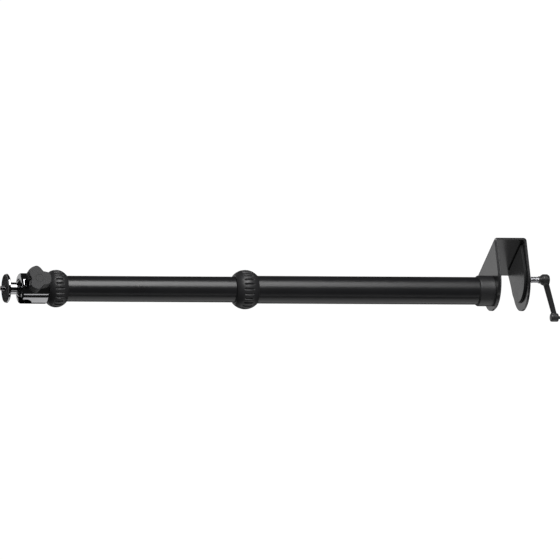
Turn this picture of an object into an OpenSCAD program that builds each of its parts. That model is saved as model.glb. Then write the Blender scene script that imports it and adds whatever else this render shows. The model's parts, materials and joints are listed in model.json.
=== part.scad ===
// Telescopic desk-clamp pole with a small ball head on top.
// The pole stands along +Z and z = 0 is the top of the desk, where the fixed jaw's pad rests.
// The jaws open to -Y, and the tubes are drawn at a middle extension.

/* [Clamp bracket] */
// Thickness of the bent steel strip
plate_t = 3; // [2.5:0.5:4]
// Width of both jaws at the web
jaw_w = 86.2; // [78:0.2:90]
// Radius of the jaws' round tips
tip_r = 36.1; // [33:0.1:38]
// Reach of the jaw tips in front of the pole's axis
tip_reach = 23.5; // [22:0.1:26]
// From the pole's axis back to the inner face of the web
web_y = 49.9; // [48:0.1:56]
// Opening between the two pads with the screw fully down
jaw_gap = 31.8; // [28:0.2:40]
// Outer radius of the strip's two bends
bend_r = 4; // [3.5:0.5:6]
// Thickness of the pad under the upper jaw
pad_t = 2; // [1:0.5:3]

/* [Clamp screw] */
// Outer diameter of the screw's thread
screw_d = 8; // [6:1:10]
// From the pole's axis back to the screw's axis
screw_y = 17; // [12:0.5:20]
// Thread that shows under the nut with the jaw fully down
screw_show = 16.8; // [16.4:0.1:24]
// Width of the pressure plate at the web
press_w = 67; // [65:1:70]
// Radius of the pressure plate's round tip
press_tip_r = 31.5; // [28:0.5:32]
// Thickness of the pressure plate
press_t = 1.3; // [1.2:0.1:3]
// Thickness of the rubber on the pressure plate
press_pad_t = 1.5; // [1.4:0.1:2]

/* [Lever] */
// From the screw's axis to the middle of the lever's end
lever_reach = 47.8; // [40:0.2:60]
// How far the lever's end lies below its hub
lever_drop = 14.4; // [0:0.2:20]
// Direction that the lever points in, about the screw
lever_turn = 235; // [0:1:359]
// Width of the lever's arm at the hub
lever_w = 9; // [7:0.5:10]
// Thickness of the lever's arm
lever_t = 7.6; // [6:0.2:9]

/* [Tubes] */
// Outer diameter of the bottom tube
outer_d = 35; // [34:0.5:38]
// Wall of the bottom tube
outer_wall = 0.85; // [0.8:0.05:1]
// Length of the bottom tube
outer_len = 321.8; // [300:0.1:400]
// Outer diameter of the middle tube
middle_d = 32.6; // [32:0.1:32.6]
// Wall of the middle tube
middle_wall = 0.95; // [0.8:0.05:1]
// Length of the middle tube
middle_len = 320; // [290:1:340]
// Length of the middle tube that stands out of the bottom tube
middle_out = 248.5; // [80:0.1:290]
// Outer diameter of the top tube
inner_d = 30; // [29.5:0.1:30]
// Wall of the top tube
inner_wall = 0.9; // [0.8:0.05:1]
// Length of the top tube
inner_len = 300; // [270:1:310]

/* [Twist locks] */
// Outer diameter of the lower grip ring
lower_ring_d = 49.8; // [48:0.2:52]
// Height of the lower grip ring
lower_ring_h = 28.8; // [27:0.1:31]
// Outer diameter of the upper grip ring
upper_ring_d = 47.4; // [45:0.2:48]
// Height of the upper grip ring
upper_ring_h = 24.8; // [24:0.1:28]
// Number of grip grooves around each ring
grooves = 24; // [18:1:30]
// Length of each tube's end inside its ring
lock_seat = 12; // [11:0.5:13]

/* [Ball head] */
// Direction of the clamping knob; the drop notch is a quarter turn before it
head_turn = -12; // [-180:1:180]
// Outer diameter of the housing
housing_d = 38.4; // [36:0.2:40]
// Height of the housing
housing_h = 34.5; // [32:0.1:36]
// Round on the front edge of the housing
housing_round = 5.5; // [3:0.5:6]
// Diameter of the ball
ball_d = 24.8; // [24:0.2:25]
// Diameter of the stem above the ball
stem_d = 15; // [14:0.2:15]
// From the ball's centre to the back of the platform
stem_len = 20.9; // [19:0.1:24]
// Diameter of the camera platform
platform_d = 36.6; // [32:0.2:38]
// Thickness of the camera platform's metal
platform_t = 3.2; // [2:0.1:4]
// Diameter of the camera screw, a quarter inch
camera_screw_d = 6.35; // [6.35:0.01:6.35]
// Length of the camera screw above its pad
camera_screw_len = 6; // [5:0.1:7]

/* [Knob] */
// From the knob's axis to the tip of its long lobe
knob_reach = 18.5; // [17:0.5:20]
// From the knob's axis to the tips of its two short lobes
knob_short = 16; // [14:0.5:18]
// Thickness of the knob
knob_t = 14; // [12:0.5:16]
// Radius of each lobe's round tip
lobe_r = 9.2; // [7:0.2:9.4]
// Gap between the housing and the knob
knob_off = 5.2; // [5:0.1:6]

/* [Hidden] */
$fn = 96;

// Clearances: a running fit, parts that stay clear of each other, and a part on a bench fit
fit = 0.05;
clear = 0.3;

// Heights of the clamp
plate_top = pad_t + plate_t;
press_face = -jaw_gap;
press_back = press_face - press_pad_t;
press_low = press_back - press_t;
press_rest = 0.2;
press_tip_y = screw_y + 2;
press_web_gap = 1.5;
lower_jaw_top = press_low - press_rest;
lower_jaw_low = lower_jaw_top - plate_t;
flange_t = 4.5;
nut_low = lower_jaw_low - flange_t;
hub_top = nut_low - screw_show;
hub_neck = 3.4;
hub_h = 10.5;
hub_low = hub_top - hub_neck - hub_h;
arm_z = hub_top - hub_neck - hub_h / 2;

// Radii of the screw's parts
screw_r = screw_d / 2;
nut_r = 6;
flange_r = 8;
swivel_r = 3;
swivel_out = 0.9;
clip_r = 4.8;
clip_t = 0.7;
hub_r = 6.3;
neck_r = 4.6;
socket_floor = 3.5;
arm_taper = 1.4;
end_r = 5.5;
end_h = 10;
end_up = 1;
pin_r = 2;
pin_out = 2.5;
cap_screw_r = 3.6;
cap_screw_h = 2;
cap_screw_key = 2.9;

// The pole's foot
collar_r = 19.5;
collar_h = 20.3;
collar_lip = 0.8;
plug_h = 25;
bolt_r = 3;
bolt_head_r = 6;
bolt_len = 17;
hex_key_d = 4.6;
hex_key_h = 2;

// The tubes
outer_r = outer_d / 2;
middle_r = middle_d / 2;
inner_r = inner_d / 2;
outer_bore = outer_r - outer_wall;
middle_bore = middle_r - middle_wall;
inner_bore = inner_r - inner_wall;
outer_top = plate_top + outer_len;
middle_top = outer_top + middle_out;
middle_low = middle_top - middle_len;
bush_h = 6;
spigot_h = 10;
spigot_wall = 1.6;

// The twist locks
lower_ring_z = outer_top - lock_seat;
upper_ring_z = middle_top - lock_seat;
sleeve_wall = 1.6;
sleeve_over = 5;
collet_wall = 1.15;
collet_slots = 6;
collet_slot = 1;
collet_foot = 2.5;
shoulder_h = 6;
lip_h = 3;
groove_r = 1.15;
groove_out = 0.1;

// The ball head
head_gap = 1.3;
head_z = upper_ring_z + upper_ring_h + head_gap;
inner_top = head_z;
inner_low = inner_top - inner_len;
housing_r = housing_d / 2;
mouth_z = head_z + housing_h;
ball_r = ball_d / 2;
ball_deep = 7;
flare_up = 5.1;
ball_z = mouth_z - ball_deep;
stem_r = stem_d / 2;
stem_neck_r = 5.8;
stem_neck_h = 10.5;
platform_z = ball_z + stem_len;
platform_r = platform_d / 2;
rubber_t = 1.2;
camera_seat = platform_z + platform_t + rubber_t;
rubber_inset = 0.7;
camera_screw_r = camera_screw_d / 2;
camera_root = 12;
camera_root_r = 2.7;
cup_z = head_z + 11.5;
seat_h = 6;
seat_hole = 0.5;
tail_r = 4.76;
tail_h = 9;
tail_low = 16;
head_plug_h = 18;

// The knob's axis lies below the ball's centre, so its screw pushes the brake shoe in and up
knob_z = head_z + 16.6;
shoe_r = 3;
shoe_in = tail_r + 1.5;
shoe_out = 14;
knob_in = housing_r + knob_off;
knob_boss_r = 7;
knob_turned = 1;
knob_skin = 3;
cap_r = 5;
cap_t = 1;

// A plain ring between two heights
module ring(r_out, r_in, z0, z1) {
  translate([0, 0, z0]) difference() {
    cylinder(r = r_out, h = z1 - z0);
    translate([0, 0, -1]) cylinder(r = r_in, h = z1 - z0 + 2);
  }
}

// A plain rod between two heights
module rod(r, z0, z1) {
  translate([0, 0, z0]) cylinder(r = r, h = z1 - z0);
}

// ---- Clamp ----

// Side outline, in Y and Z, of the space inside the strip's surface at a given depth
module strip_loop(depth, front) {
  back = web_y + plate_t - depth;
  low = lower_jaw_low + depth;
  high = plate_top - depth;
  r = bend_r - depth;
  translate([front, low]) square([back - r - front, high - low]);
  translate([front, low + r]) square([back - front, high - low - 2 * r]);
  for (z = [low + r, high - r]) translate([back - r, z]) circle(r = r);
}

// Flat outline with a straight back at back_y and sides that close in onto a round tip
module tongue(r, half, centre_y, back_y) {
  back = back_y - centre_y;
  touch = atan2(back, half) - acos(r / norm([half, back]));
  translate([0, centre_y]) intersection() {
    translate([-half - r, -r]) square([2 * (half + r), r + back]);
    union() {
      circle(r = r);
      polygon([
        [half, back], [-half, back],
        [-r * cos(touch), r * sin(touch)], [r * cos(touch), r * sin(touch)]
      ]);
    }
  }
}

module jaw_plan(inset = 0) {
  tongue(tip_r - inset, jaw_w / 2 - inset, tip_r - tip_reach, web_y + plate_t);
}

module press_plan(inset = 0) {
  tongue(press_tip_r - inset, press_w / 2 - inset, press_tip_y, web_y - press_web_gap - inset);
}

module clamp_bracket() {
  color("#202022") difference() {
    intersection() {
      rotate([90, 0, 90]) linear_extrude(jaw_w + 2, center = true) difference() {
        strip_loop(0, -tip_reach);
        strip_loop(plate_t, -tip_reach - 1);
      }
      translate([0, 0, lower_jaw_low - 1]) linear_extrude(plate_top - lower_jaw_low + 2) jaw_plan();
    }
    translate([0, 0, pad_t]) cylinder(r1 = bolt_head_r, r2 = bolt_r, h = plate_t);
    translate([0, screw_y, 0]) rod(nut_r, lower_jaw_low - 1, lower_jaw_top + 1);
  }
}

module desk_pad() {
  margin = 1.6;
  color("#151516") linear_extrude(pad_t) difference() {
    jaw_plan(margin);
    translate([-jaw_w, web_y - margin]) square([2 * jaw_w, jaw_w]);
  }
}

// Flanged nut that is welded into the lower jaw
module screw_nut() {
  color("#2a2a2c") translate([0, screw_y, 0]) difference() {
    union() {
      rod(nut_r, lower_jaw_low, lower_jaw_top);
      rod(flange_r, nut_low, lower_jaw_low);
    }
    rod(screw_r + fit, nut_low - 1, lower_jaw_top + 1);
  }
}

// The thread runs up to a thinner swivel end, which passes through the pressure plate
module clamp_screw() {
  color("#c9c9cc") translate([0, screw_y, 0]) difference() {
    union() {
      rod(screw_r, hub_low + socket_floor, press_low);
      rod(swivel_r, press_low, press_back + swivel_out);
    }
    rod(pin_r, hub_low, hub_low + hub_h);
  }
}

module pressure_plate() {
  color("#232325") translate([0, 0, press_low]) linear_extrude(press_t) difference() {
    press_plan();
    translate([0, screw_y]) circle(r = swivel_r + fit);
  }
}

// The rubber covers the screw's end and has a pocket for its clip
module pressure_pad() {
  margin = 0.8;
  skin = 0.4;
  color("#4b4b4d") difference() {
    translate([0, 0, press_back]) linear_extrude(press_pad_t) press_plan(margin);
    translate([0, screw_y, press_back - 1]) cylinder(r = clip_r + 1.2, h = press_pad_t - skin + 1);
  }
}

// Spring clip that holds the pressure plate on the screw
module swivel_clip() {
  color("#8f8f92") translate([0, screw_y, 0]) difference() {
    ring(clip_r, swivel_r, press_back + fit, press_back + fit + clip_t);
    translate([0, 0, press_back]) cube([clip_r * 2, swivel_r, 2 * clip_t]);
  }
}

// ---- Lever ----

module lever_hub() {
  color("#1c1c1e") translate([0, screw_y, 0]) difference() {
    union() {
      rod(neck_r, hub_top - hub_neck, hub_top);
      rod(hub_r, hub_low, hub_top - hub_neck);
    }
    rod(screw_r, hub_low + socket_floor, hub_top + 1);
    rod(pin_r, hub_low, hub_low + hub_h);
    rod(cap_screw_r, hub_low - 1, hub_low + cap_screw_h);
  }
}

// Slanting arm that grips the hub and carries an upright boss at its end
module lever_arm() {
  slope = atan2(lever_drop, lever_reach);
  length = norm([lever_drop, lever_reach]);
  tip_w = lever_w - arm_taper;
  color("#1c1c1e") translate([0, screw_y, 0]) rotate([0, 0, lever_turn]) difference() {
    union() {
      translate([0, 0, arm_z]) rotate([90, slope, 0]) linear_extrude(lever_t, center = true)
        polygon([[0, lever_w / 2], [length, tip_w / 2], [length, -tip_w / 2], [0, -lever_w / 2]]);
      translate([lever_reach, 0, 0])
        rod(end_r, arm_z - lever_drop - end_h / 2 + end_up, arm_z - lever_drop + end_h / 2 + end_up);
    }
    rod(hub_r, hub_low - 5, hub_top);
    translate([lever_reach, 0, 0]) rod(pin_r, arm_z - lever_drop - end_h, arm_z - lever_drop);
  }
}

module lever_end_pin() {
  pin_top = arm_z - lever_drop;
  color("#1c1c1e") translate([0, screw_y, 0]) rotate([0, 0, lever_turn])
    translate([lever_reach, 0, 0]) rod(pin_r, pin_top - end_h / 2 - pin_out, pin_top);
}

// Small screw that holds the lever on the end of the clamp screw
module lever_screw() {
  color("#8f8f92") translate([0, screw_y, 0]) difference() {
    union() {
      rod(pin_r, hub_low + cap_screw_h, hub_low + hub_h);
      rod(cap_screw_r, hub_low, hub_low + cap_screw_h);
    }
    translate([0, 0, hub_low - 1]) cylinder(d = cap_screw_key, h = 1 + cap_screw_h / 2, $fn = 6);
  }
}

// ---- Foot of the pole ----

module pole_collar() {
  color("#1d1d1f") translate([0, 0, plate_top]) rotate_extrude() polygon([
    [outer_r, 0], [collar_r, 0], [collar_r, collar_h - 1.5 * collar_lip],
    [collar_r - collar_lip, collar_h], [outer_r, collar_h]
  ]);
}

module base_plug() {
  color("#8a8a8d") ring(outer_bore, bolt_r, plate_top, plate_top + plug_h);
}

// Countersunk bolt, flush under the upper jaw, that pulls the pole's plug down
module base_bolt() {
  color("#3a3a3c") difference() {
    union() {
      translate([0, 0, pad_t]) cylinder(r1 = bolt_head_r, r2 = bolt_r, h = plate_t);
      rod(bolt_r, plate_top, plate_top + bolt_len);
    }
    translate([0, 0, pad_t - 1]) cylinder(d = hex_key_d, h = hex_key_h + 1, $fn = 6);
  }
}

// ---- Tubes ----

module outer_tube() {
  color("#1b1b1d") ring(outer_r, outer_bore, plate_top, outer_top);
}

module middle_tube() {
  color("#1b1b1d") ring(middle_r, middle_bore, middle_low, middle_top);
}

module inner_tube() {
  color("#1b1b1d") ring(inner_r, inner_bore, inner_low, inner_top);
}

// Plastic bush on the bottom of a sliding tube: a foot that runs in the larger tube, and a spigot
module guide_bush(run_r, bore_r, z) {
  color("#d8d8d4") {
    ring(run_r - fit, bore_r - spigot_wall, z - bush_h, z);
    ring(bore_r, bore_r - spigot_wall, z, z + spigot_h);
  }
}

module middle_guide_bush() {
  guide_bush(outer_bore, middle_bore, middle_low);
}

module inner_guide_bush() {
  guide_bush(middle_bore, inner_bore, inner_low);
}

// ---- Twist locks ----

// Threaded sleeve bonded over the end of a tube; above the tube it holds the collet
module lock_sleeve(tube_r, slide_r, tube_end) {
  sleeve_low = tube_end - lock_seat + shoulder_h + 0.6;
  sleeve_top = tube_end + sleeve_over;
  color("#2c2c2e") {
    ring(tube_r + sleeve_wall, tube_r, sleeve_low, tube_end);
    ring(tube_r + sleeve_wall, slide_r + fit + collet_wall + clear, tube_end, sleeve_top);
  }
}

// Split collet that squeezes the sliding tube
module lock_collet(slide_r, tube_end, ring_h) {
  low = tube_end + 0.5;
  high = tube_end - lock_seat + ring_h - lip_h - 0.5;
  color("#d8d8d4") difference() {
    ring(slide_r + fit + collet_wall, slide_r + fit, low, high);
    for (i = [0 : collet_slots - 1]) rotate([0, 0, i * 360 / collet_slots])
      translate([0, -collet_slot / 2, low + collet_foot]) cube([2 * slide_r, collet_slot, high - low]);
  }
}

// Barrel-shaped grip ring with short grooves, bored for tube, sleeve and collet
module lock_ring(tube_r, slide_r, tube_end, ring_d, ring_h) {
  r = ring_d / 2;
  end_r_out = tube_r + 1.4;
  shoulder_r = r - 1.8;
  shoulder = 0.16 * ring_h;
  band = 0.28 * ring_h;
  groove_len = 0.4 * ring_h;
  sleeve_bore = tube_r + sleeve_wall + 0.08;
  collet_bore = slide_r + fit + collet_wall + clear;
  bore_top = lock_seat + sleeve_over + 0.8;
  color("#242426") translate([0, 0, tube_end - lock_seat]) difference() {
    rotate_extrude() polygon([
      [tube_r + clear, 0], [end_r_out, 0], [shoulder_r, shoulder], [r, band], [r, ring_h - band],
      [shoulder_r, ring_h - shoulder], [end_r_out, ring_h], [slide_r + 0.4, ring_h],
      [slide_r + 0.4, ring_h - lip_h], [collet_bore, ring_h - lip_h], [collet_bore, bore_top],
      [sleeve_bore, bore_top], [sleeve_bore, shoulder_h], [tube_r + clear, shoulder_h]
    ]);
    for (i = [0 : grooves - 1]) rotate([0, 0, (i + 0.5) * 360 / grooves])
      translate([r + groove_out, 0, (ring_h - groove_len) / 2])
        cylinder(r = groove_r, h = groove_len, $fn = 24);
  }
}

module lower_lock_sleeve() {
  lock_sleeve(outer_r, middle_r, outer_top);
}

module lower_collet() {
  lock_collet(middle_r, outer_top, lower_ring_h);
}

module lower_lock_ring() {
  lock_ring(outer_r, middle_r, outer_top, lower_ring_d, lower_ring_h);
}

module upper_lock_sleeve() {
  lock_sleeve(middle_r, inner_r, middle_top);
}

module upper_collet() {
  lock_collet(inner_r, middle_top, upper_ring_h);
}

module upper_lock_ring() {
  lock_ring(middle_r, inner_r, middle_top, upper_ring_d, upper_ring_h);
}

// ---- Ball head ----

// Places children with +X along the knob's axis, at the knob's height
module on_knob_axis() {
  translate([0, 0, knob_z]) rotate([0, 0, head_turn]) rotate([0, 90, 0]) children();
}

module head_plug() {
  color("#8a8a8d") ring(inner_bore, tail_r, inner_top - head_plug_h, inner_top);
}

module head_stud() {
  color("#b5b5b8") rod(tail_r, inner_top - tail_low, head_z + tail_h);
}

module ball_housing() {
  straight = housing_h - housing_round;
  flare_z = ball_z + flare_up;
  flare_r = sqrt(pow(ball_r + fit, 2) - pow(flare_up, 2));
  notch_r = stem_r + clear;
  color("#c4c4c8") difference() {
    translate([0, 0, head_z]) rotate_extrude() {
      square([housing_r, straight]);
      square([housing_r - housing_round, housing_h]);
      translate([housing_r - housing_round, straight]) circle(r = housing_round);
    }
    rod(tail_r, head_z - 1, cup_z);
    rod(ball_r + fit, cup_z, ball_z);
    translate([0, 0, ball_z]) sphere(r = ball_r + fit);
    translate([0, 0, flare_z])
      cylinder(r1 = flare_r, r2 = flare_r + mouth_z - flare_z + 1, h = mouth_z - flare_z + 1);
    on_knob_axis() cylinder(r = shoe_r + fit, h = housing_r + 1);
    rotate([0, 0, head_turn - 90]) translate([0, 0, ball_z]) {
      rotate([0, 90, 0]) cylinder(r = notch_r, h = housing_r + 1);
      translate([0, -notch_r, 0]) cube([housing_r + 1, 2 * notch_r, housing_h]);
    }
  }
}

// Nylon cup under the ball, cut away where the brake shoe passes
module ball_seat() {
  color("#d8d8d4") difference() {
    rod(ball_r - fit, cup_z, cup_z + seat_h);
    translate([0, 0, ball_z]) sphere(r = ball_r + fit);
    rod(tail_r + seat_hole, cup_z - 1, cup_z + seat_h);
    on_knob_axis() cylinder(r = shoe_r + clear, h = housing_r);
  }
}

module brake_shoe() {
  color("#b08d4f") difference() {
    on_knob_axis() translate([0, 0, shoe_in]) cylinder(r = shoe_r, h = shoe_out - shoe_in);
    translate([0, 0, ball_z]) sphere(r = ball_r + fit);
  }
}

module knob_screw() {
  color("#b5b5b8") on_knob_axis() translate([0, 0, shoe_out + fit])
    cylinder(r = shoe_r, h = knob_in + knob_t - knob_skin - shoe_out - fit);
}

// Three-lobed knob: a boss toward the housing, one long lobe and two short ones
module knob() {
  boss_gap = 0.6;
  color("#3b3b3d") on_knob_axis() translate([0, 0, knob_in]) difference() {
    union() {
      translate([0, 0, boss_gap - knob_off]) cylinder(r = knob_boss_r, h = knob_off);
      linear_extrude(knob_t) union() {
        for (i = [0 : 2]) rotate(knob_turned + i * 120)
          translate([(i == 1 ? knob_reach : knob_short) - lobe_r, 0]) circle(r = lobe_r);
      }
    }
    translate([0, 0, -knob_off]) cylinder(r = shoe_r, h = knob_off + knob_t - knob_skin);
    translate([0, 0, knob_t - cap_t]) cylinder(r = cap_r, h = cap_t + 1);
  }
}

module knob_cap() {
  color("#2e2e30") on_knob_axis() translate([0, 0, knob_in + knob_t - cap_t]) cylinder(r = cap_r, h = cap_t);
}

// Ball, neck and stem turned in one piece
module ball_stem() {
  color("#c4c4c8") difference() {
    union() {
      translate([0, 0, ball_z]) sphere(r = ball_r);
      rod(stem_neck_r, ball_z, ball_z + stem_neck_h + 0.5);
      rod(stem_r, ball_z + stem_neck_h, platform_z - 1);
      rod(stem_neck_r, platform_z - 1.5, platform_z);
    }
    rod(camera_root_r, camera_seat - camera_root, camera_seat);
  }
}

module camera_platform() {
  bevel = 0.6;
  color("#c4c4c8") translate([0, 0, platform_z]) rotate_extrude() polygon([
    [camera_root_r, 0], [platform_r - 2 * bevel, 0], [platform_r, 2 * bevel],
    [platform_r, platform_t - bevel], [platform_r - bevel, platform_t], [camera_root_r, platform_t]
  ]);
}

module platform_rubber() {
  color("#19191a")
    ring(platform_r - rubber_inset, camera_screw_r + 0.5, platform_z + platform_t, camera_seat);
}

module camera_screw() {
  color("#c4c4c8") {
    rod(camera_root_r, camera_seat - camera_root, camera_seat);
    rod(camera_screw_r, camera_seat, camera_seat + camera_screw_len);
  }
}

clamp_bracket();
desk_pad();
screw_nut();
clamp_screw();
pressure_plate();
pressure_pad();
swivel_clip();
lever_hub();
lever_arm();
lever_end_pin();
lever_screw();
pole_collar();
base_plug();
base_bolt();
outer_tube();
lower_lock_sleeve();
lower_collet();
lower_lock_ring();
middle_tube();
middle_guide_bush();
upper_lock_sleeve();
upper_collet();
upper_lock_ring();
inner_tube();
inner_guide_bush();
head_plug();
head_stud();
ball_housing();
ball_seat();
brake_shoe();
knob_screw();
knob();
knob_cap();
ball_stem();
camera_platform();
platform_rubber();
camera_screw();
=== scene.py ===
"""Looks of the telescopic desk-clamp pole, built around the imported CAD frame.

Lengths are metres in the part's frame: +Z up the pole, the jaws open to -Y.
"""

import json
import math

import bmesh
import bpy
from mathutils import Matrix, Vector


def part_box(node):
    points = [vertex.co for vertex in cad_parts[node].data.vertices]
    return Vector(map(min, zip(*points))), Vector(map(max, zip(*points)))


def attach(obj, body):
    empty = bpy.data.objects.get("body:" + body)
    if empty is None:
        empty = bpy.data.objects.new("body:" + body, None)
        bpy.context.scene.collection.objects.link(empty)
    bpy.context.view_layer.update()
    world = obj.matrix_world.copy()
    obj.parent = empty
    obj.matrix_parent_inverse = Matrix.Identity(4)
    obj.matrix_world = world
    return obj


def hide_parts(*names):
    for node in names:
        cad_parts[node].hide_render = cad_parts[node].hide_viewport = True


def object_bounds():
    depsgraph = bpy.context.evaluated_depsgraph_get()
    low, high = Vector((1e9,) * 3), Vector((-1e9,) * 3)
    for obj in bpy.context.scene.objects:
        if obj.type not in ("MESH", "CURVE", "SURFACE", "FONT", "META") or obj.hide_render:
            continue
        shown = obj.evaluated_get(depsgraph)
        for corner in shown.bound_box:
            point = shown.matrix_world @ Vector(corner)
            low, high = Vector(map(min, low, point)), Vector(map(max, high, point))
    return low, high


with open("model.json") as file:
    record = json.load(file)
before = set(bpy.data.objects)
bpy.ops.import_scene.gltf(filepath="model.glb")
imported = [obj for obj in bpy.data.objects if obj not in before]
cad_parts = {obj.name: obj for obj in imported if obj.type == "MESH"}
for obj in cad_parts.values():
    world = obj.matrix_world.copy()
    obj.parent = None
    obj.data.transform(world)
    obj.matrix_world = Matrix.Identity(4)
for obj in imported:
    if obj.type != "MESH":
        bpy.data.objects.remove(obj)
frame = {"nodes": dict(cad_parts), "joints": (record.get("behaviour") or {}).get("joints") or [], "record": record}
cad_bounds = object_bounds()

MM = 0.001
TAU = 2 * math.pi

# ---- Sizes that the frame doesn't give ----------------------------------------------------

BEND_R = 4 * MM                     # outer radius of the bracket's two bends
JAW_TIP = 36.1 * MM                 # radius of the jaws' round tips
PRESS_TIP = 31.5 * MM               # radius of the pressure plate's round tip
NUT_NECK = 6 * MM                   # radius of the nut where it sits in the lower jaw
PRESS_SEAT = 3 * MM                 # radius of the screw's end in the pressure plate
METRIC_PITCH = 1.25 * MM            # thread of the clamp screw
CAMERA_PITCH = 1.27 * MM            # thread of the camera screw
CAMERA_ROOT = 2.7 * MM              # radius of the camera screw where it has no thread
ARM_AROUND = 24                     # corners around the lever's arm

# Each of the knob's lobes: direction in degrees, reach and half width
LOBES = ((1, 15.8 * MM, 9.2 * MM), (118, 17.2 * MM, 9.4 * MM), (241, 15.8 * MM, 8 * MM))
LOBE_BLUNTNESS = 3.4                # 2 gives a round lobe and more gives a squarer one
LOBE_BLEND = 16                     # more gives tighter hollows between the lobes
KNOB_THICK = 14 * MM
KNOB_CORE = 7.2 * MM                # radius of the knob's plain middle

# ---- Sizes read from the frame ------------------------------------------------------------


def span(node):
    """Lowest and highest Z of a CAD node."""
    low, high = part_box(node)
    return low.z, high.z


def radius(node):
    """Outer radius of a round CAD node whose axis is vertical."""
    low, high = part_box(node)
    return (high.y - low.y) / 2


def joint(name):
    """A joint of the record, by name."""
    return next(j for j in frame["joints"] if j["name"] == name)


def centre_xy(node):
    """Middle of a CAD node in plan."""
    low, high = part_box(node)
    return Vector(((low.x + high.x) / 2, (low.y + high.y) / 2, 0))


SCREW_AXIS = centre_xy("clamp_screw")
KNOB_AXIS = Vector(joint("knob_turn")["axis"])
KNOB_AT = Vector(joint("knob_turn")["pos_m"])
BALL_AT = Vector(joint("ball_tilt")["pos_m"])


# ---- Camera -------------------------------------------------------------------------------

# The camera looks across the pole with the ball head to the left, so it is rolled on its side
CAMERA_TURN = math.radians(57.9)    # direction of the camera around the pole, from -Y toward +X
CAMERA_TILT = math.radians(15.4)    # how far the camera stands above square-on
CAMERA_ROLL = 0.0056                # the pole drops a little to the right
CAMERA_AWAY = 20
AIM_HEIGHT = 0.2834
AIM_ASIDE = 0.0124                  # the aim passes beside the pole, which sits low in the frame
SENSOR = 36
LENS = 1018.3                       # the photo shows next to no perspective

toward = Vector((math.sin(CAMERA_TURN), -math.cos(CAMERA_TURN), 0))
aside = Vector((math.cos(CAMERA_TURN), math.sin(CAMERA_TURN), 0))
UP = Vector((0, 0, 1))


def add_camera():
    """The camera, with the picture's right along -Z and its top along `aside`."""
    back = toward * math.cos(CAMERA_TILT) + UP * math.sin(CAMERA_TILT)
    right = toward * math.sin(CAMERA_TILT) - UP * math.cos(CAMERA_TILT)
    across = right * math.cos(CAMERA_ROLL) + aside * math.sin(CAMERA_ROLL)
    above = back.cross(across)
    data = bpy.data.cameras.new("camera")
    data.sensor_width = SENSOR
    data.lens = LENS
    data.clip_end = 100
    camera = bpy.data.objects.new("camera", data)
    bpy.context.scene.collection.objects.link(camera)
    aim = UP * AIM_HEIGHT + aside * AIM_ASIDE
    turn = Matrix((across, above, back)).transposed().to_4x4()
    camera.matrix_world = Matrix.Translation(aim + back * CAMERA_AWAY) @ turn
    bpy.context.scene.camera = camera


# ---- Materials ----------------------------------------------------------------------------


class Nodes:
    """A material being built: short calls that add a node and link its inputs."""

    def __init__(self, name):
        self.material = bpy.data.materials.new(name)
        self.material.use_nodes = True
        self.tree = self.material.node_tree
        self.shader = self.tree.nodes["Principled BSDF"]
        self.place = self.add("ShaderNodeTexCoord").outputs["Object"]

    def add(self, kind, **inputs):
        """A node, with its inputs set to values or linked to outputs."""
        node = self.tree.nodes.new(kind)
        for key, value in inputs.items():
            self.put(node.inputs[key.replace("_", " ")], value)
        return node

    def put(self, socket, value):
        """Links an output to a socket, or sets the socket's value."""
        if isinstance(value, bpy.types.NodeSocket):
            self.tree.links.new(value, socket)
        else:
            socket.default_value = value

    def stretched(self, scale):
        """The object's own coordinates, scaled per axis."""
        return self.add("ShaderNodeMapping", Vector=self.place, Scale=scale).outputs["Vector"]

    def noise(self, scale, detail, vector=None):
        """Noise from 0 to 1 with features of about 1 / scale metres."""
        vector = self.place if vector is None else vector
        return self.add("ShaderNodeTexNoise", Vector=vector, Scale=scale, Detail=detail).outputs["Fac"]

    def ramp(self, value, low, high, dark, light):
        """Maps value from low..high to dark..light."""
        node = self.add(
            "ShaderNodeMapRange", Value=value, From_Min=low, From_Max=high, To_Min=dark, To_Max=light,
        )
        return node.outputs["Result"]

    def blend(self, share, first, second):
        """A colour between two colours."""
        node = self.tree.nodes.new("ShaderNodeMix")
        node.data_type = "RGBA"
        self.put(node.inputs[0], share)
        self.put(node.inputs[6], (*first, 1))
        self.put(node.inputs[7], (*second, 1))
        return node.outputs[2]

    def bump(self, height, depth, under=None):
        """A bump of that depth in metres, over another one."""
        node = self.add("ShaderNodeBump", Height=height, Distance=depth, Strength=1.0)
        if under is not None:
            self.put(node.inputs["Normal"], under)
        return node.outputs["Normal"]

    def shade(self, **inputs):
        """Sets or links inputs of the shader."""
        for key, value in inputs.items():
            self.put(self.shader.inputs[key.replace("_", " ")], value)
        return self.material


def scaled(colour, by):
    """A colour times a number."""
    return tuple(c * by for c in colour)


def paint(name, colour, rough, grain, depth, specular=0.5):
    """Satin paint or powder coat: fine orange peel, faint cloudiness and dust."""
    n = Nodes(name)
    cloud = n.noise(14, 4)
    peel = n.noise(grain, 2)
    speck = n.noise(grain * 5, 1)
    base = n.blend(n.ramp(cloud, 0.3, 0.7, 0, 1), scaled(colour, 0.86), scaled(colour, 1.16))
    n.shade(
        Base_Color=base,
        Roughness=n.ramp(cloud, 0.25, 0.75, rough - 0.035, rough + 0.035),
        Specular_IOR_Level=specular,
        Normal=n.bump(speck, depth * 0.3, under=n.bump(peel, depth)),
    )
    return n.material


def plastic(name, colour, rough, grain, depth, specular=0.45):
    """Moulded plastic: fine spark-eroded grain with slightly polished high spots."""
    n = Nodes(name)
    cloud = n.noise(40, 3)
    texture = n.noise(grain, 3)
    base = n.blend(n.ramp(cloud, 0.3, 0.7, 0, 1), scaled(colour, 0.88), scaled(colour, 1.15))
    n.shade(
        Base_Color=base,
        Roughness=n.ramp(texture, 0.35, 0.65, rough + 0.06, rough - 0.05),
        Specular_IOR_Level=specular,
        Normal=n.bump(texture, depth),
    )
    return n.material


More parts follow.
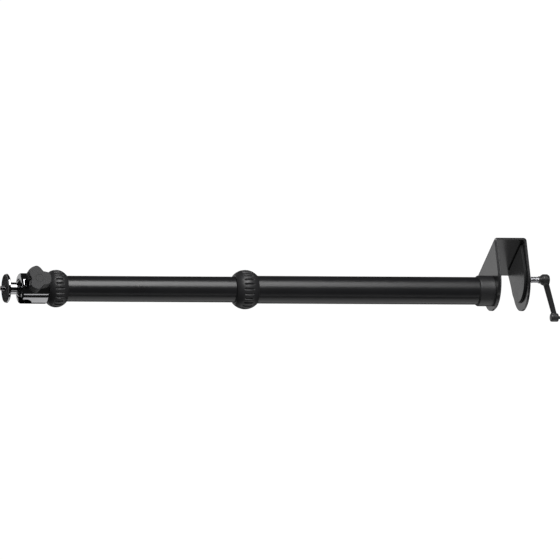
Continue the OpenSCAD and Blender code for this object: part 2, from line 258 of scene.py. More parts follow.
def metal(name, colour, rough, stretch, depth):
    """Bare or plated metal: fine tool or polishing marks along one way, and faint smears."""
    n = Nodes(name)
    smear = n.noise(60, 3)
    marks = n.noise(1, 3, n.stretched(stretch))
    base = n.blend(n.ramp(smear, 0.3, 0.7, 0, 1), scaled(colour, 0.92), scaled(colour, 1.04))
    n.shade(
        Base_Color=base,
        Metallic=1.0,
        Roughness=n.ramp(smear, 0.25, 0.75, rough * 0.75, rough * 1.35),
        Normal=n.bump(marks, depth),
    )
    return n.material


def rubber(name, colour, rough, grain, depth):
    """Matte rubber: a pebbled skin with pale bloom in places."""
    n = Nodes(name)
    bloom = n.noise(55, 4)
    pebbles = n.add("ShaderNodeTexVoronoi", Vector=n.place, Scale=grain).outputs["Distance"]
    base = n.blend(n.ramp(bloom, 0.35, 0.75, 0, 1), colour, scaled(colour, 1.35))
    n.shade(
        Base_Color=base,
        Roughness=n.ramp(bloom, 0.3, 0.7, rough - 0.06, rough + 0.05),
        Specular_IOR_Level=0.3,
        Normal=n.bump(pebbles, depth, under=n.bump(n.noise(grain * 3, 2), depth * 0.6)),
    )
    return n.material


TURNED = (60, 60, 6000)  # marks that run around a turned piece are close together along Z

MATERIALS = {
    "bracket_paint": paint("bracket_paint", (0.016, 0.016, 0.017), 0.22, 1100, 0.000006),
    "tube_paint": paint("tube_paint", (0.010, 0.010, 0.011), 0.30, 900, 0.000006, 0.42),
    "collar_paint": paint("collar_paint", (0.016, 0.016, 0.017), 0.40, 1300, 0.00002),
    "grip_plastic": plastic("grip_plastic", (0.017, 0.017, 0.018), 0.42, 2600, 0.00002),
    "knob_plastic": plastic("knob_plastic", (0.019, 0.019, 0.020), 0.55, 2200, 0.00003, 0.3),
    "lever_plastic": plastic("lever_plastic", (0.022, 0.022, 0.0225), 0.34, 1500, 0.00002),
    "nylon": plastic("nylon", (0.62, 0.61, 0.57), 0.48, 1200, 0.00002),
    "pad_rubber": rubber("pad_rubber", (0.048, 0.048, 0.049), 0.72, 1400, 0.00006),
    "jaw_pad": paint("jaw_pad", (0.018, 0.018, 0.019), 0.24, 1100, 0.000006),
    "chrome": metal("chrome", (0.39, 0.39, 0.40), 0.07, TURNED, 0.0000012),
    "zinc_steel": metal("zinc_steel", (0.66, 0.66, 0.68), 0.38, TURNED, 0.000004),
    "black_oxide": metal("black_oxide", (0.06, 0.06, 0.065), 0.34, TURNED, 0.000006),
    "cast_alloy": metal("cast_alloy", (0.56, 0.56, 0.57), 0.30, TURNED, 0.000006),
    "brass": metal("brass", (0.62, 0.45, 0.20), 0.25, TURNED, 0.000005),
}

# Painted shade: a near-black metal on the inside of the ball's cup and on the drop notch's walls, standing in for
# the shade in these hollows of the chrome
PAINTED_SHADE_CUP = metal("painted_shade_cup", (0.02, 0.02, 0.022), 0.3, TURNED, 0.000004)
# Painted shade: a darker matte black on the side edges of the pressure plate and of its rubber, standing in for
# the shadow they lie in
PAINTED_SHADE_SIDES = rubber("painted_shade_sides", (0.008, 0.008, 0.0085), 0.7, 1400, 0.00006)


# ---- Mesh helpers -------------------------------------------------------------------------


def finish_piece(mesh, name, body, slot, replaces=(), crease=None):
    """Turns a bmesh into a piece with its material, which rides on a body."""
    data = bpy.data.meshes.new(name)
    bmesh.ops.recalc_face_normals(mesh, faces=mesh.faces)
    mesh.to_mesh(data)
    mesh.free()
    piece = bpy.data.objects.new(name, data)
    bpy.context.scene.collection.objects.link(piece)
    return dress(piece, body, slot, replaces, crease)


def dress(piece, body, slot, replaces=(), crease=None):
    """Gives a piece its smoothing, material, body and slot."""
    for polygon in piece.data.polygons:
        polygon.use_smooth = True
    if crease is not None:
        piece.data.set_sharp_from_angle(angle=math.radians(crease))
    piece.data.materials.clear()
    piece.data.materials.append(MATERIALS[slot])
    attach(piece, body)
    if replaces:
        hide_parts(*replaces)
    return piece


def weighted(piece):
    """Keeps flat faces flat beside small rounds."""
    modifier = piece.modifiers.new("flat faces", "WEIGHTED_NORMAL")
    modifier.weight = 100
    modifier.keep_sharp = True
    return piece


def fillet(points, steps=5):
    """Rounds the corners of a closed outline. Each point is (r, z) or (r, z, corner radius)."""
    out = []
    count = len(points)
    for i, point in enumerate(points):
        here = Vector(point[:2])
        size = point[2] if len(point) > 2 else 0
        if not size:
            out.append(here)
            continue
        before = Vector(points[i - 1][:2]) - here
        after = Vector(points[(i + 1) % count][:2]) - here
        half = before.angle(after) / 2
        cut = min(size / math.tan(half), before.length * 0.49, after.length * 0.49)
        size = cut * math.tan(half)
        start = here + before.normalized() * cut
        end = here + after.normalized() * cut
        middle = here + (before.normalized() + after.normalized()).normalized() * (size / math.sin(half))
        from_middle = start - middle
        turn = from_middle.angle_signed(end - middle)
        for k in range(steps + 1):
            out.append(middle + Matrix.Rotation(-turn * k / steps, 2) @ from_middle)
    return out


def turned(outline, around=128, shape=None, place=None):
    """A bmesh of a closed (r, z) outline turned about Z. shape(angle, r, z) may change each point's r."""
    on_axis = 0.0001 * MM
    mesh = bmesh.new()
    rings = []
    for r, z in outline:
        if r < on_axis:
            rings.append([mesh.verts.new((0, 0, z))] * around)
            continue
        ring = []
        for j in range(around):
            angle = TAU * j / around
            far = shape(angle, r, z) if shape else r
            ring.append(mesh.verts.new((far * math.cos(angle), far * math.sin(angle), z)))
        rings.append(ring)
    for a, b in zip(rings, rings[1:] + rings[:1]):
        for j in range(around):
            k = (j + 1) % around
            corners = list(dict.fromkeys((a[j], a[k], b[k], b[j])))
            if len(corners) > 2:
                mesh.faces.new(corners)
    if place is not None:
        mesh.transform(place)
    return mesh


def plug(r, low, high, around, place=None):
    """A bmesh of a plain round plug, which holes are cut with."""
    return turned([(0, low), (r, low), (r, high), (0, high)], around, place=place)


def extruded(outline, low, high):
    """A bmesh of a closed plan outline between two heights."""
    mesh = bmesh.new()
    base = [mesh.verts.new((x, y, low)) for x, y in outline]
    top = [mesh.verts.new((x, y, high)) for x, y in outline]
    mesh.faces.new(list(reversed(base)))
    mesh.faces.new(top)
    for i in range(len(outline)):
        j = (i + 1) % len(outline)
        mesh.faces.new((base[i], base[j], top[j], top[i]))
    return mesh


def bevelled(piece, width, angle=35):
    """Adds a rounding of all edges sharper than that angle in degrees."""
    modifier = piece.modifiers.new("edges", "BEVEL")
    modifier.width = width
    modifier.segments = 3
    modifier.limit_method = "ANGLE"
    modifier.angle_limit = math.radians(angle)
    return piece


def carve(piece, cutter):
    """Cuts a bmesh out of a piece."""
    data = bpy.data.meshes.new("cutter")
    bmesh.ops.recalc_face_normals(cutter, faces=cutter.faces)
    cutter.to_mesh(data)
    cutter.free()
    tool = bpy.data.objects.new("cutter", data)
    bpy.context.scene.collection.objects.link(tool)
    modifier = piece.modifiers.new("cut", "BOOLEAN")
    modifier.operation = "DIFFERENCE"
    modifier.solver = "EXACT"
    modifier.object = tool
    settle(piece)
    bpy.data.objects.remove(tool)


def settle(piece):
    """Applies a piece's modifiers to its mesh."""
    bpy.context.view_layer.update()
    shown = piece.evaluated_get(bpy.context.evaluated_depsgraph_get())
    data = bpy.data.meshes.new_from_object(shown)
    piece.modifiers.clear()
    piece.data = data
    return piece


ON_SCREW = Matrix.Translation(SCREW_AXIS)

# The knob's own frame: z along its axis from the pole's axis, x down the pole
KNOB_FRAME = Matrix.Translation(KNOB_AT) @ Matrix(
    (-UP, KNOB_AXIS.cross(-UP), KNOB_AXIS)
).transposed().to_4x4()


def along_knob(node):
    """How far a CAD node's nearest and furthest points lie along the knob's axis."""
    far = [(v.co - KNOB_AT).dot(KNOB_AXIS) for v in frame["nodes"][node].data.vertices]
    return min(far), max(far)


# ---- Clamp --------------------------------------------------------------------------------


def tongue_half(y, tip, half, front, back):
    """Half width at y of a flat tongue: a round tip at front, then sides that open out to half at back."""
    middle = front + tip
    touch = math.atan2(back - middle, half) - math.acos(tip / math.hypot(half, back - middle))
    touch_x, touch_y = tip * math.cos(touch), middle + tip * math.sin(touch)
    if y <= touch_y:
        return math.sqrt(max(tip**2 - (middle - y) ** 2, 0))
    return touch_x + (half - touch_x) * (y - touch_y) / (back - touch_y)


def tip_rows(front, back, count):
    """Values of y that crowd together toward the round tip at front."""
    return [front + (back - front) * (1 - math.cos(math.pi / 2 * k / count)) for k in range(count + 1)]


def tongue_outline(tip, half, low, high, back):
    """Plan of a flat tongue that is cut off at high. Its sides would reach the half width at back."""
    side = [(tongue_half(y, tip, half, low, back), y) for y in tip_rows(low, high, 48)]
    return side + [(-x, y) for x, y in reversed(side[1:])]


def bridged(mesh, rings):
    """Joins a row of equally long rings of corners into a closed skin, with both ends filled."""
    for one, two in zip(rings, rings[1:]):
        for i in range(len(one)):
            j = (i + 1) % len(one)
            mesh.faces.new((one[i], one[j], two[j], two[i]))
    for ring in (rings[0], rings[-1]):
        mesh.faces.new(ring)


def bracket():
    """The bent strip: one loft along its C-shaped side, as wide as the jaws are at each y."""
    low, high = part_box("clamp_bracket")
    thick = high.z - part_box("desk_pad")[1].z
    bend = BEND_R - thick / 2
    top = high.z - thick / 2
    bottom = low.z + thick / 2
    back = high.y - thick / 2
    rows, bend_steps, across = 60, 8, 24
    path = [(y, top, 0) for y in tip_rows(low.y, back - bend, rows)]
    for k in range(1, bend_steps + 1):
        a = math.pi / 2 * k / bend_steps
        path.append((back - bend + bend * math.sin(a), top - bend + bend * math.cos(a), a))
    path += [(y, top + bottom - z, math.pi - a) for y, z, a in reversed(path)]
    mesh = bmesh.new()
    rings = []
    for y, z, a in path:
        normal = Vector((0, math.sin(a), math.cos(a))) * thick / 2
        half = tongue_half(y, JAW_TIP, high.x, low.y, high.y)
        row = [Vector((half * (2 * i / across - 1), y, z)) for i in range(across + 1)]
        points = [p + normal for p in row] + [p - normal for p in reversed(row)]
        rings.append([mesh.verts.new(p) for p in points])
    bridged(mesh, rings)
    bmesh.ops.remove_doubles(mesh, verts=mesh.verts, dist=0.001 * MM)
    bmesh.ops.dissolve_degenerate(mesh, edges=mesh.edges, dist=0.001 * MM)
    piece = finish_piece(mesh, "bent_bracket", "clamp_base", "bracket_paint", ["clamp_bracket"])
    carve(piece, plug(NUT_NECK, low.z - MM, low.z + thick + MM, 128, ON_SCREW))
    head = radius("base_bolt")
    shank = 3 * MM
    carve(piece, turned([
        (0, high.z - thick - MM), (head, high.z - thick - MM), (head, high.z - thick),
        (shank, high.z), (shank, high.z + MM), (0, high.z + MM),
    ]))
    settle(bevelled(piece, 0.5 * MM))
    weighted(dress(piece, "clamp_base", "bracket_paint", ["clamp_bracket"]))


def desk_pad():
    """Rubber sheet glued under the upper jaw."""
    low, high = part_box("desk_pad")
    jaw_low, jaw_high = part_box("clamp_bracket")
    margin = low.y - jaw_low.y
    outline = tongue_outline(JAW_TIP - margin, jaw_high.x - margin, low.y, high.y, jaw_high.y)
    mesh = extruded(outline, low.z, high.z)
    piece = finish_piece(mesh, "jaw_sheet", "clamp_base", "pad_rubber", ["desk_pad"])
    weighted(bevelled(piece, 0.4 * MM))


def nut():
    """Flanged nut with a chamfered rim, welded under the lower jaw."""
    low, top = span("screw_nut")
    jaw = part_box("clamp_bracket")[0].z
    flange = radius("screw_nut")
    bore = radius("clamp_screw") + 0.05 * MM
    outline = fillet([
        (bore, low), (flange - 1.2 * MM, low, 0.3 * MM), (flange, low + 1.2 * MM, 0.3 * MM),
        (flange, jaw, 0.2 * MM), (NUT_NECK, jaw), (NUT_NECK, top), (bore, top),
    ])
    mesh = turned(outline, 96, place=ON_SCREW)
    weighted(finish_piece(mesh, "weld_nut", "clamp_base", "bracket_paint", ["screw_nut"]))


def press_parts():
    """Pressure plate and its rubber: round at the tip, straight beside the web."""
    for name, node, slot, edge in (
        ("press_plate", "pressure_plate", "bracket_paint", 0.3 * MM),
        ("press_rubber", "pressure_pad", "jaw_pad", 0.2 * MM),
    ):
        low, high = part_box(node)
        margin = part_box("pressure_plate")[1].x - high.x
        outline = tongue_outline(PRESS_TIP - margin, high.x, low.y, high.y, high.y)
        piece = finish_piece(extruded(outline, low.z, high.z), name, "pressure_jaw", slot, [node])
        if node == "pressure_plate":
            carve(piece, plug(PRESS_SEAT + 0.05 * MM, low.z - MM, high.z + MM, 48, ON_SCREW))
        else:
            clip_pocket = 6 * MM
            carve(piece, plug(clip_pocket, low.z - MM, low.z + 1.1 * MM, 64, ON_SCREW))
        settle(bevelled(piece, edge))
        dress(piece, "pressure_jaw", slot, [node])
        # Side faces take the darker painted shade material and the flat faces keep their own
        piece.data.materials.append(PAINTED_SHADE_SIDES)
        for polygon in piece.data.polygons:
            polygon.material_index = 1 if abs(polygon.normal.z) < 0.5 else 0
        weighted(piece)


def threaded(name, axis, node, body, slot, pitch, plain):
    """A screw whose thread is cut into the CAD node's rod.

    plain lists the stretches with no thread as (z0, z1, r).
    """
    low, high = span(node)
    r = radius(node)
    thread_deep = 0.61 * pitch
    flat = 0.12                     # share of half a turn that the crest's flat takes, and the root's
    end_chamfer = 0.8 * MM
    steps_per_turn = 10

    def far(angle, at, z):
        for z0, z1, smooth in plain:
            if z0 <= z <= z1:
                return smooth
        turn = (z / pitch - angle / TAU) % 1.0
        flank = abs(2 * turn - 1)
        groove = min(max((flank - flat) / (1 - 2 * flat), 0), 1)
        lead = max(0, end_chamfer - min(z - low, high - z))
        return min(r - thread_deep * groove, r - lead)

    count = int((high - low) / pitch * steps_per_turn)
    heights = [low + (high - low) * i / count for i in range(count + 1)]
    outline = [(0, low)] + [(r, z) for z in heights] + [(0, high)]
    mesh = turned(outline, 48, far, place=axis)
    finish_piece(mesh, name, body, slot, [node], crease=50)


def clamp_screw():
    """M8 screw, plain at its swivel end and inside the lever's hub."""
    low, high = span("clamp_screw")
    swivel = (span("pressure_plate")[0], high, PRESS_SEAT)
    in_hub = (low, span("lever_hub")[1] - 3 * MM, radius("clamp_screw") - 0.1 * MM)
    plain = [swivel, in_hub]
    threaded("clamp_thread", ON_SCREW, "clamp_screw", "screw", "zinc_steel", METRIC_PITCH, plain)


# ---- Lever --------------------------------------------------------------------------------


def lever_step():
    """Height of the step between the lever hub's neck and its round body."""
    return span("lever_hub")[1] - 3.4 * MM


def lever_end():
    """Point on the axis of the lever's end boss, at the top of its pin."""
    low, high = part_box("lever_end_pin")
    return Vector(((low.x + high.x) / 2, (low.y + high.y) / 2, high.z))


def lever_hub():
    """Necked hub with a recess for the lever's screw."""
    low, top = span("lever_hub")
    r = radius("lever_hub")
    step = lever_step()
    neck = 4.6 * MM
    recess, shank = 3.7 * MM, 2 * MM
    bore = radius("clamp_screw")
    outline = fillet([
        (bore, top), (neck, top, 0.5 * MM), (neck, step, 0.4 * MM), (r, step, 1.0 * MM),
        (r, low, 1.4 * MM), (recess, low, 0.2 * MM), (recess, low + 2 * MM), (shank, low + 2 * MM),
        (shank, low + 3.5 * MM), (bore, low + 3.5 * MM),
    ])
    mesh = turned(outline, 96, place=ON_SCREW)
    weighted(finish_piece(mesh, "lever_socket", "screw", "lever_plastic", ["lever_hub"]))


def lever_pin():
    """Nub under the lever's end."""
    low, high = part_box("lever_end_pin")
    r = (high.x - low.x) / 2
    end = lever_end()
    top = span("lever_arm")[0] + 0.5 * MM
    outline = fillet([(0, low.z), (r, low.z, 0.5 * MM), (r, top), (0, top)])
    mesh = turned(outline, 40, place=Matrix.Translation((end.x, end.y, 0)))
    weighted(finish_piece(mesh, "lever_pin", "screw", "lever_plastic", ["lever_end_pin"]))


def lever_bar(mesh, start, end):
    """Adds the arm's tapering bar, whose section is a square with well rounded corners."""
    run = end - start
    side = UP.cross(run).normalized()
    over = run.normalized().cross(side)
    squareness = 3
    steps = 28
    rings = []
    for k in range(steps + 1):
        share = k / steps
        wide = (3.8 - 0.6 * share) * MM
        thick = (3.3 - 0.3 * share) * MM
        ring = []
        for j in range(ARM_AROUND):
            a = TAU * j / ARM_AROUND
            c, s = math.cos(a), math.sin(a)
            square = (abs(c) ** squareness + abs(s) ** squareness) ** (-1 / squareness)
            at = start + run * share + over * (wide * c * square) + side * (thick * s * square)
            ring.append(mesh.verts.new(at))
        rings.append(ring)
    bridged(mesh, rings)


def rounded_drum(r, low, high, corner, place):
    """A bmesh of a drum with rounded rims."""
    outline = fillet([(0, low), (r, low, corner), (r, high, corner), (0, high)])
    return turned(outline, 48, place=place)


def lever_arm():
    """One casting: a bar that blends into a collar on the hub and into the end boss."""
    low = span("lever_hub")[0]
    step = lever_step()
    end = lever_end()
    casting = bmesh.new()
    lever_bar(casting, SCREW_AXIS + UP * ((low + step) / 2), end)
    on_end = Matrix.Translation((end.x, end.y, 0))
    boss = rounded_drum(5.4 * MM, span("lever_arm")[0], end.z + 6 * MM, 1.2 * MM, on_end)
    collar_r = radius("lever_hub") + 0.9 * MM
    hub_collar = rounded_drum(collar_r, low + 1.2 * MM, step - 1.2 * MM, 1.5 * MM, ON_SCREW)
    for extra in (boss, hub_collar):
        data = bpy.data.meshes.new("extra")
        extra.to_mesh(data)
        extra.free()
        casting.from_mesh(data)
    piece = finish_piece(casting, "lever_casting", "screw", "lever_plastic", ["lever_arm"])
    remesh = piece.modifiers.new("blend", "REMESH")
    remesh.mode = "VOXEL"
    remesh.voxel_size = 0.45 * MM
    smooth = piece.modifiers.new("soften", "SMOOTH")
    smooth.factor = 0.5
    smooth.iterations = 6
    settle(piece)
    dress(piece, "screw", "lever_plastic", ["lever_arm"])


# ---- Tubes and locks ----------------------------------------------------------------------


def tube(name, node, body, wall):
    """A drawn tube with eased ends."""
    low, high = span(node)
    r = radius(node)
    outline = fillet([
        (r - wall, low, 0.2 * MM), (r, low, 0.3 * MM), (r, high, 0.3 * MM), (r - wall, high, 0.2 * MM),
    ], 3)
    mesh = turned(outline, 160)
    weighted(finish_piece(mesh, name, body, "tube_paint", [node]))


def collar():
    """Turned collar around the pole's foot."""
    low, high = span("pole_collar")
    r = radius("pole_collar")
    bore = radius("outer_tube")
    outline = fillet([
        (bore, low), (r, low, 0.2 * MM), (r, high - 1.5 * MM, 0.6 * MM), (r - 1.2 * MM, high, 0.3 * MM),
        (bore + 0.1 * MM, high),
    ])
    mesh = turned(outline, 160)
    weighted(finish_piece(mesh, "foot_collar", "clamp_base", "collar_paint", ["pole_collar"]))


def grip_ring(name, node, body, tube_node, sleeve_node, collet_node, slide_node):
    """Barrel-shaped twist-lock ring with short round-ended grooves in its belly."""
    low, high = span(node)
    height = high - low
    r = radius(node)
    tube_r = radius(tube_node)
    end_r = tube_r + 1.3 * MM
    crown = r - end_r
    arc = ((height / 2) ** 2 + crown**2) / (2 * crown)
    middle = (low + high) / 2
    grooves = 24
    groove_half = 1.25 * MM
    groove_deep = 1.5 * MM
    groove_long = 0.22 * height
    groove_soft = 1.35              # how far a groove's flank reaches, in half widths

    def shape(angle, at, z):
        if at < end_r - MM:
            return at
        pitch = TAU / grooves
        off = (angle + pitch / 2) % pitch - pitch / 2
        lengthways = max(abs(z - middle) - groove_long + groove_half, 0)
        near = math.hypot(off * r, lengthways) / (groove_soft * groove_half)
        return at - groove_deep * (0.5 + 0.5 * math.cos(math.pi * min(near, 1)))

    rim = 0.8 * MM
    steps = 64
    skin = []
    for k in range(steps + 1):
        z = -height / 2 + rim + (height - 2 * rim) * k / steps
        skin.append((r - arc + math.sqrt(arc**2 - z**2), middle + z))
    sleeve_low, sleeve_top = span(sleeve_node)
    sleeve_r = radius(sleeve_node) + 0.08 * MM
    collet_r = radius(collet_node) + 0.3 * MM
    slide_r = radius(slide_node) + 0.4 * MM
    lip = high - 3 * MM
    inside = [
        (slide_r, high), (slide_r, lip), (collet_r, lip), (collet_r, sleeve_top + 0.8 * MM),
        (sleeve_r, sleeve_top + 0.8 * MM), (sleeve_r, sleeve_low - 0.6 * MM),
        (tube_r + 0.3 * MM, sleeve_low - 0.6 * MM), (tube_r + 0.3 * MM, low),
    ]
    end = skin[-1][0]
    shoulder, edge = end - 0.35 * MM, end - 0.9 * MM
    outline = skin + [(shoulder, high - 0.25 * MM), (edge, high)] + inside
    outline = outline + [(edge, low), (shoulder, low + 0.25 * MM)]
    mesh = turned(outline, grooves * 20, shape)
    finish_piece(mesh, name, body, "grip_plastic", [node], crease=40)


# ---- Ball head ----------------------------------------------------------------------------


def housing():
    """Chrome housing: rounded front, flared mouth, knob bore and drop notch."""
    low, high = span("ball_housing")
    r = radius("ball_housing")
    ball = radius("ball_stem") + 0.06 * MM
    seat = low + 11.5 * MM
    flare = BALL_AT.z + 5.1 * MM
    flare_r = math.sqrt(ball**2 - (flare - BALL_AT.z) ** 2)
    mouth_r = flare_r + high - flare
    cup = []
    steps = 24
    top_angle = math.acos((flare - BALL_AT.z) / ball)
    for k in range(steps + 1):
        a = top_angle + (math.pi / 2 - top_angle) * k / steps
        cup.append((ball * math.sin(a), BALL_AT.z + ball * math.cos(a)))
    stud = radius("head_stud") + 0.02 * MM
    outline = fillet([
        (stud, low), (r, low, 0.6 * MM), (r, high, 5.5 * MM), (mouth_r, high, 0.25 * MM),
        *cup, (ball, seat), (stud, seat),
    ], 10)
    mesh = turned(outline, 192)
    piece = finish_piece(mesh, "head_housing", "top_section", "chrome", ["ball_housing"])

    notch_axis = KNOB_AXIS.cross(UP)
    across = notch_axis.cross(UP)
    half = 7.8 * MM
    notch_top = 20 * MM
    reach = r + 2 * MM
    turns = 32
    slot = [(half, notch_top), (-half, notch_top)]
    for k in range(turns + 1):
        a = math.pi + math.pi * k / turns
        slot.append((half * math.cos(a), half * math.sin(a)))
    cutter = extruded(slot, 0, reach)
    cutter.transform(
        Matrix.Translation(BALL_AT) @ Matrix((across, UP, notch_axis)).transposed().to_4x4()
    )
    carve(piece, cutter)
    carve(piece, plug(3.05 * MM, 0, reach, 64, KNOB_FRAME))
    settle(bevelled(piece, 0.45 * MM, 32))
    dress(piece, "top_section", "chrome", ["ball_housing"], crease=60)

    # The cup's inside and the notch's walls take the painted shade material in place of chrome
    piece.data.materials.append(PAINTED_SHADE_CUP)
    for polygon in piece.data.polygons:
        spot = polygon.center - BALL_AT
        off = abs(spot.dot(across)) if spot.z > 0 else math.hypot(spot.dot(across), spot.z)
        in_notch = spot.dot(notch_axis) > 0 and abs(off - half) < 0.05 * MM
        if in_notch or spot.length < ball + 0.3 * MM:
            polygon.material_index = 1
    weighted(piece)


def ball_and_stem():
    """Ball, necked stem and its collar, turned in one piece and chromed."""
    high = span("ball_stem")[1]
    ball = radius("ball_stem")
    stem = 7.5 * MM
    neck = 5.8 * MM
    centre = BALL_AT.z
    neck_top = centre + 10.5 * MM
    hole_low = high - 7.6 * MM
    outline = [(0, centre - ball)]
    top_angle = math.asin(neck / ball)
    steps = 40
    for k in range(1, steps + 1):
        a = math.pi - (math.pi - top_angle) * k / steps
        outline.append((ball * math.sin(a), centre + ball * math.cos(a)))
    outline += fillet([
        (neck, centre + ball * math.cos(top_angle) + 0.4 * MM, 0.3 * MM), (neck, neck_top, 0.3 * MM),
        (stem, neck_top + 0.5 * MM, 0.5 * MM), (stem, high - 1.3 * MM, 0.5 * MM),
        (neck, high - 1.0 * MM, 0.2 * MM), (neck, high), (CAMERA_ROOT, high), (CAMERA_ROOT, hole_low),
        (0, hole_low),
    ], 4)
    mesh = turned(outline, 128)
    weighted(finish_piece(mesh, "ball_and_neck", "ball", "chrome", ["ball_stem"]))


def platform_plate():
    """Chrome disc with a chamfered back."""
    low, high = span("camera_platform")
    r = radius("camera_platform")
    hole = CAMERA_ROOT + 0.05 * MM
    outline = fillet([
        (hole, low), (r - 1.6 * MM, low, 0.6 * MM), (r, low + 1.2 * MM, 0.4 * MM),
        (r, high, 0.5 * MM), (hole, high),
    ])
    mesh = turned(outline, 160)
    weighted(finish_piece(mesh, "platform_disc", "platform", "chrome", ["camera_platform"]))


def platform_rubber():
    """Rubber face with ring-shaped grooves."""
    low, high = span("platform_rubber")
    r = radius("platform_rubber")
    hole = radius("camera_screw") + 0.5 * MM
    grooves = 6
    first = r - 1.6 * MM
    apart = 1.9 * MM
    edge, floor = 0.35 * MM, 0.2 * MM
    bottom = high - 0.35 * MM
    outline = [(hole, low), (r, low), (r, high - 0.3 * MM), (r - 0.3 * MM, high)]
    for k in range(grooves):
        at = first - apart * k
        outline += [(at + edge, high), (at + floor, bottom), (at - floor, bottom), (at - edge, high)]
    outline += [(hole + 0.3 * MM, high), (hole, high - 0.3 * MM)]
    mesh = turned(outline, 128)
    finish_piece(mesh, "platform_face", "platform", "pad_rubber", ["platform_rubber"], crease=35)


def camera_screw():
    """Quarter inch camera screw, plain below the rubber's face."""
    plain = [(0, span("platform_rubber")[1], CAMERA_ROOT)]
    upright = Matrix.Identity(4)
    threaded("camera_thread", upright, "camera_screw", "platform", "chrome", CAMERA_PITCH, plain)


def lobed(angle):
    """Distance from the knob's axis to its outline."""
    total = 0
    for way, reach, half in LOBES:
        off = angle - math.radians(way)
        if math.cos(off) > 0:
            along = (math.cos(off) / reach) ** LOBE_BLUNTNESS
            beside = abs(math.sin(off) / half) ** LOBE_BLUNTNESS
            total += (along + beside) ** (-LOBE_BLEND / LOBE_BLUNTNESS)
    return total ** (1 / LOBE_BLEND)


def knob():
    """Three-lobed knob: rounded paddles around a hub, with a recess for the cap."""
    near, face = along_knob("knob")
    back = face - KNOB_THICK
    tip = max(reach for way, reach, half in LOBES)

    def shape(angle, at, z):
        if at <= KNOB_CORE:
            return at
        return KNOB_CORE + (at - KNOB_CORE) * (min(lobed(angle), tip) - KNOB_CORE) / (tip - KNOB_CORE)

    bore, recess_r, recess = 3 * MM, 5.05 * MM, face - 1.0 * MM
    hub = KNOB_CORE - 0.2 * MM
    outline = fillet([
        (bore, near), (hub, near, 0.4 * MM), (hub, back - 0.1 * MM),
        (KNOB_CORE + 0.1 * MM, back), (tip, back, 1.6 * MM), (tip, face, 1.4 * MM),
        (KNOB_CORE + 0.4 * MM, face), (recess_r, face, 0.1 * MM), (recess_r, recess), (bore, recess),
    ], 8)
    mesh = turned(outline, 240, shape, place=KNOB_FRAME)
    weighted(finish_piece(mesh, "lobed_knob", "knob", "knob_plastic", ["knob"]))


def knob_cap():
    """Round cap in the middle of the knob's face."""
    low, high = along_knob("knob_cap")
    r = 5 * MM
    outline = fillet([(0, low), (r, low, 0.2 * MM), (r, high, 0.15 * MM), (0, high)])
    mesh = turned(outline, 64, place=KNOB_FRAME)
    weighted(finish_piece(mesh, "knob_button", "knob", "knob_plastic", ["knob_cap"]))


# ---- Everything else keeps its CAD shape ---------------------------------------------------


def dress_frame():
    """Gives every CAD node that still shows its material and smooth shading."""
    slots = {s["node"]: s["material_slot"] for s in frame["record"]["subparts"]}
    for name, node in frame["nodes"].items():
        if node.hide_render:
            continue
        node.data.materials.clear()
        node.data.materials.append(MATERIALS[slots[name]])
        for polygon in node.data.polygons:
            polygon.use_smooth = True
        node.data.set_sharp_from_angle(angle=math.radians(35))


# ---- Studio -------------------------------------------------------------------------------


def add_floor():
    """A wide white floor under the clamp's lever."""
    half = 60
    below = 0.12
    mesh = bmesh.new()
    bmesh.ops.create_grid(mesh, x_segments=1, y_segments=1, size=half)
    data = bpy.data.meshes.new("floor")
    mesh.to_mesh(data)
    mesh.free()
    floor = bpy.data.objects.new("floor", data)
    floor.location.z = cad_bounds[0][2] - below
    bpy.context.scene.collection.objects.link(floor)
    n = Nodes("floor_white")
    n.shade(
        Base_Color=(0.1, 0.1, 0.1, 1), Roughness=1.0, Specular_IOR_Level=0.0,
        Emission_Color=(1, 1, 1, 1), Emission_Strength=1.0,
    )
    data.materials.append(n.material)
    floor.visible_glossy = False
    floor.visible_diffuse = False
    floor.visible_shadow = False


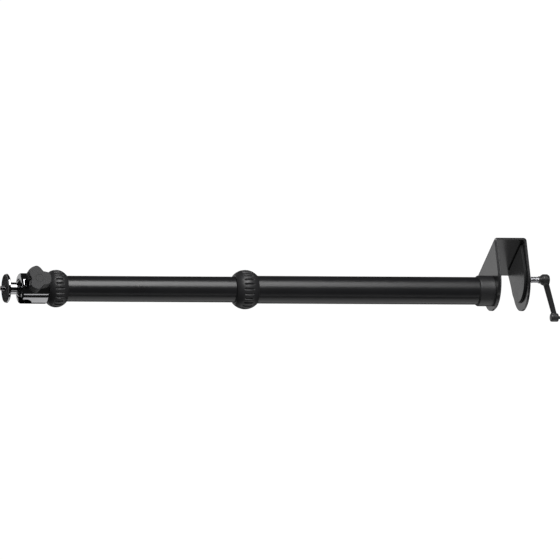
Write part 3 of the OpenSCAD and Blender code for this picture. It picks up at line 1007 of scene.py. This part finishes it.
def add_panel(name, way, lift, away, wide, tall, radiance):
    """A soft panel. way is its direction around the pole from the camera, lift its height angle."""
    data = bpy.data.lights.new(name, "AREA")
    data.shape = "RECTANGLE"
    data.size = wide
    data.size_y = tall
    data.energy = radiance * math.pi * wide * tall
    lamp = bpy.data.objects.new(name, data)
    bpy.context.scene.collection.objects.link(lamp)
    turn = math.radians(way)
    level = toward * math.cos(turn) + aside * math.sin(turn)
    out = level * math.cos(math.radians(lift)) + UP * math.sin(math.radians(lift))
    lamp.location = UP * AIM_HEIGHT + out * away
    lamp.rotation_euler = out.to_track_quat("Z", "Y").to_euler()
    lamp.visible_camera = False
    return lamp


def add_light():
    """A white world for the camera, a dim one for everything else, and soft panels."""
    world = bpy.data.worlds.new("studio")
    bpy.context.scene.world = world
    world.use_nodes = True
    tree = world.node_tree
    back = tree.nodes["Background"]
    seen = tree.nodes.new("ShaderNodeLightPath")
    for name, strength in (("Is Camera Ray", 1.0), ("Is Diffuse Ray", 0.12), ("Is Glossy Ray", 0.015)):
        step = tree.nodes.new("ShaderNodeMath")
        step.operation = "MULTIPLY_ADD"
        tree.links.new(seen.outputs[name], step.inputs[0])
        step.inputs[1].default_value = strength
        step.inputs[2].default_value = 0.0
        if back.inputs["Strength"].is_linked:
            tree.links.new(back.inputs["Strength"].links[0].from_socket, step.inputs[2])
        tree.links.new(step.outputs[0], back.inputs["Strength"])
    back.inputs["Color"].default_value = (1, 1, 1, 1)
    add_panel("key", 50, 2, 2.0, 1.6, 1.4, 8.0)
    add_panel("near_strip", -46, -15, 2.2, 0.3, 2.6, 1.0)
    add_panel("side", -104, -12, 2.2, 2.6, 2.6, 0.9)
    add_panel("backdrop", 180, 20, 3.4, 4.0, 2.0, 0.65)
    fill = add_panel("fill", -8, 8, 4.0, 2.6, 2.6, 0.5)
    fill.visible_glossy = False


add_camera()
add_floor()
add_light()
bracket()
desk_pad()
nut()
press_parts()
clamp_screw()
lever_hub()
lever_pin()
lever_arm()
collar()
tube("bottom_tube", "outer_tube", "clamp_base", 0.85 * MM)
tube("mid_tube", "middle_tube", "middle_section", 0.95 * MM)
tube("top_tube", "inner_tube", "top_section", 0.9 * MM)
for level, around, inside in (("lower", "outer", "middle"), ("upper", "middle", "inner")):
    grip_ring(
        f"{level}_grip", f"{level}_lock_ring", f"{level}_ring",
        f"{around}_tube", f"{level}_lock_sleeve", f"{level}_collet", f"{inside}_tube",
    )
housing()
ball_and_stem()
platform_plate()
platform_rubber()
camera_screw()
knob()
knob_cap()
dress_frame()
bpy.context.scene.view_settings.view_transform = "Standard"
